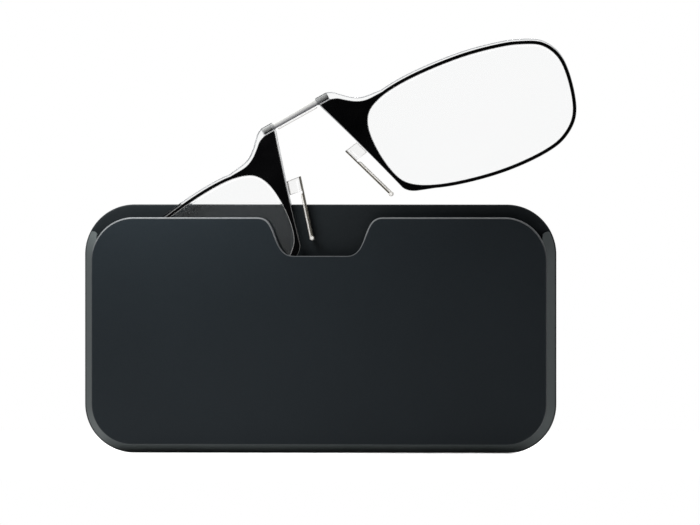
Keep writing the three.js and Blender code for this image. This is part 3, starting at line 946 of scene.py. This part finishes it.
def camera():
    data = bpy.data.cameras.new("camera")
    data.lens = CAMERA_LENS
    data.sensor_width = CAMERA_SENSOR
    thing = bpy.data.objects.new("camera", data)
    bpy.context.scene.collection.objects.link(thing)
    a, e = CAMERA_AZIMUTH, CAMERA_ELEVATION
    back = Vector((math.sin(a) * math.cos(e), -math.cos(a) * math.cos(e), math.sin(e)))
    thing.location = AIM + back * (VIEW_WIDTH * CAMERA_LENS / CAMERA_SENSOR)
    thing.rotation_euler = (-back).to_track_quat("-Z", "Y").to_euler()
    bpy.context.scene.camera = thing


def area(name, place, target, size, power):
    data = bpy.data.lights.new(name, "AREA")
    data.shape = "RECTANGLE"
    data.size, data.size_y = size
    data.energy = power
    thing = bpy.data.objects.new(name, data)
    bpy.context.scene.collection.objects.link(thing)
    thing.visible_camera = False
    thing.visible_glossy = False
    thing.visible_transmission = False
    thing.location = place
    thing.rotation_euler = (Vector(place) - Vector(target)).to_track_quat("Z", "Y").to_euler()


def lights():
    sun = bpy.data.lights.new("overhead", "SUN")
    sun.energy = SUN_ENERGY
    sun.angle = math.radians(SUN_SPREAD)
    thing = bpy.data.objects.new("overhead", sun)
    bpy.context.scene.collection.objects.link(thing)
    thing.rotation_euler = (math.radians(-SUN_TILT), math.radians(-SUN_TURN), 0)
    thing.visible_transmission = False
    for name, values in SOFTBOXES.items():
        area(name, *values)


def world():
    """White all round the back, dimmer in front, as in a light tent with the camera in its opening.

    It is plain white where it is seen directly, and part of the way to white through the lenses.
    """
    made = bpy.data.worlds.new("tent")
    bpy.context.scene.world = made
    made.use_nodes = True
    tree = made.node_tree
    background = tree.nodes["Background"]
    place = tree.nodes.new("ShaderNodeTexCoord")
    split = tree.nodes.new("ShaderNodeSeparateXYZ")
    tree.links.new(place.outputs["Generated"], split.inputs["Vector"])
    shade = tree.nodes.new("ShaderNodeMapRange")
    shade.interpolation_type = "SMOOTHSTEP"
    shade.inputs["From Min"].default_value = TENT_FADE[0]
    shade.inputs["From Max"].default_value = TENT_FADE[1]
    shade.inputs["To Min"].default_value = TENT_FRONT
    shade.inputs["To Max"].default_value = 1.0
    tree.links.new(split.outputs["Y"], shade.inputs["Value"])
    path = tree.nodes.new("ShaderNodeLightPath")
    seen = tree.nodes.new("ShaderNodeMath")
    seen.operation = "MAXIMUM"
    tree.links.new(path.outputs["Is Camera Ray"], seen.inputs[0])
    through = tree.nodes.new("ShaderNodeMath")
    through.operation = "MULTIPLY"
    through.inputs[1].default_value = TENT_THROUGH
    tree.links.new(path.outputs["Is Transmission Ray"], through.inputs[0])
    tree.links.new(through.outputs[0], seen.inputs[1])
    strength = tree.nodes.new("ShaderNodeMix")
    tree.links.new(seen.outputs[0], strength.inputs[0])
    tree.links.new(shade.outputs["Result"], strength.inputs[2])
    strength.inputs[3].default_value = 1.0
    tree.links.new(strength.outputs[0], background.inputs["Strength"])
    background.inputs["Color"].default_value = (1, 1, 1, 1)


def floor():
    """A plain pale floor just under the case, which fades out into the white of the tent."""
    mesh = bmesh.new()
    bmesh.ops.create_circle(mesh, cap_ends=True, segments=96, radius=FLOOR_FADE[1])
    data = bpy.data.meshes.new("floor")
    mesh.to_mesh(data)
    mesh.free()
    n = Nodes("pale_floor")
    cloud = n.noise(3, 2.0)
    n.link(
        n.mix(n.spread(cloud, 0.0, 1.0), (0.90, 0.90, 0.90), (0.92, 0.92, 0.92)),
        n.shader.inputs["Base Color"],
    )
    n.set(Roughness=0.9, Specular_IOR_Level=0.0)
    far = n.add("VectorMath", operation="LENGTH")
    n.link(n.place, far.inputs[0])
    low, high = FLOOR_FADE
    gone = n.add("MapRange", interpolation_type="SMOOTHSTEP", From_Min=low, From_Max=high)
    n.link(far.outputs["Value"], gone.inputs["Value"])
    both = n.add("MixShader")
    n.link(gone.outputs["Result"], both.inputs["Fac"])
    n.link(n.shader.outputs["BSDF"], both.inputs[1])
    n.link(n.add("BsdfTransparent").outputs["BSDF"], both.inputs[2])
    n.link(both.outputs["Shader"], n.output.inputs["Surface"])
    data.materials.append(n.material)
    thing = bpy.data.objects.new("floor", data)
    bpy.context.scene.collection.objects.link(thing)
    thing.location.z = BACK_LOW.z * MM - FLOOR_GAP


def main():
    camera()
    face, rail, back = (case_plastic(name) for name in CASE_PLASTICS)
    back_plate(back)
    pocket_wall(rail)
    front_plate(face)
    adhesive_pad(foam())
    black = rim_black()
    glass, tab, web_tab = (clear(name) for name in CLEARS)
    steel, thin_steel, sleeve = (metal(name) for name in METALS)
    rubber = silicone()
    for side in MIRROR:
        lens(side, glass)
        rim(side, black)
        strip(side, steel, sleeve)
        clip(side, tab)
        blade(side, thin_steel)
        nose_pad(side, rubber)
    web(web_tab)
    lights()
    world()
    floor()
    bpy.context.scene.view_settings.view_transform = "Standard"


main()
